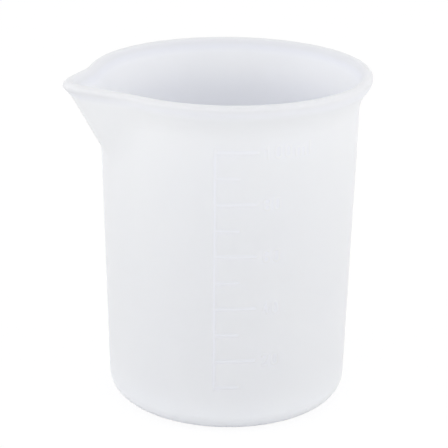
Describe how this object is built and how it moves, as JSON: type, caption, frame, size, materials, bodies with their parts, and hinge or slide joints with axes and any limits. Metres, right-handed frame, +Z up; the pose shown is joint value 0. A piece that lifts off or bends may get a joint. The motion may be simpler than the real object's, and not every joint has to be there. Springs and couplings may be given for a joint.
{
  "type": "measuring beaker",
  "caption": "Small flexible silicone measuring beaker with a flared rounded rim, a V-shaped pouring spout and a faint raised volume scale.",
  "frame": {"origin": "centre of the flat underside of the base", "axes": "+Z up along the cup's axis, -X towards the pouring spout, raised scale on the -Y side"},
  "size_m": [0.0645, 0.058, 0.0705],
  "materials": {
    "silicone": "satin translucent milky white",
    "raised_scale": "satin translucent milky white"
  },
  "bodies": {
    "root": {"vessel": "silicone", "scale_spine": "raised_scale", "graduation_marks": "raised_scale", "graduation_numerals": "raised_scale", "volume_unit": "raised_scale"}
  },
  "joints": []
}
